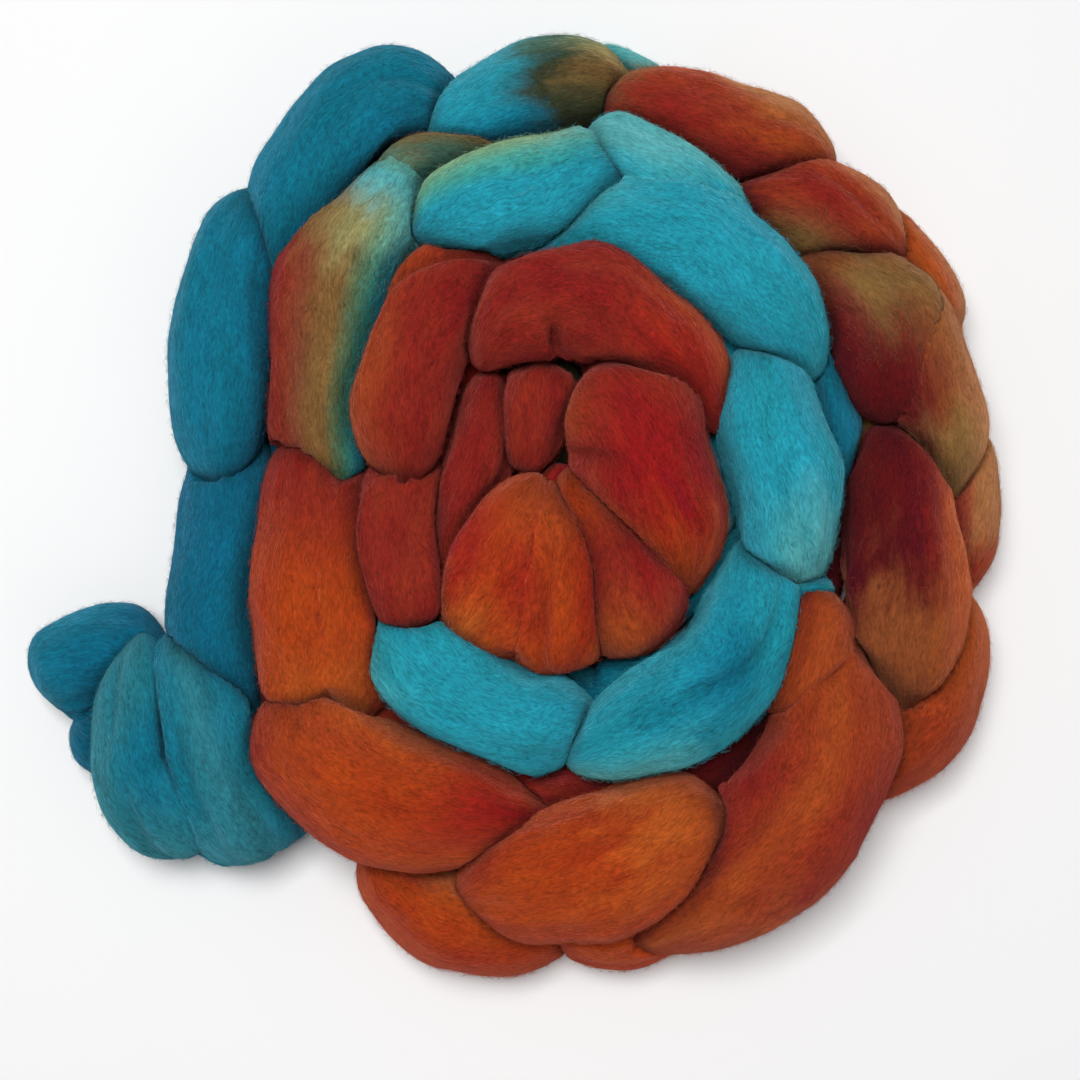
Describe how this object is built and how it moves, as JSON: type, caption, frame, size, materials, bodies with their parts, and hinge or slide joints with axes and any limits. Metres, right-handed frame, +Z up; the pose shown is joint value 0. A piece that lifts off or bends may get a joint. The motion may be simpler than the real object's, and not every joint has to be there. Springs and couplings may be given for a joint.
{
  "type": "wool roving",
  "caption": "Hand-dyed combed wool roving, chain-braided and wound flat in a spiral coil, standing on its pressed underside.",
  "frame": {"origin": "middle of the coil's base, on the surface it rests on", "axes": "+Z up, out of the flat coil; +X to the right along the coil's longest side, seen from above with the loose tail at the front left; +Y to the back"},
  "size_m": [0.284, 0.2734, 0.0658],
  "materials": {
    "dyed_wool": "matt combed wool fibre, hand-dyed in runs of teal, rust, orange and olive"
  },
  "bodies": {
    "root": {"roving_coil": "dyed_wool"}
  },
  "joints": []
}
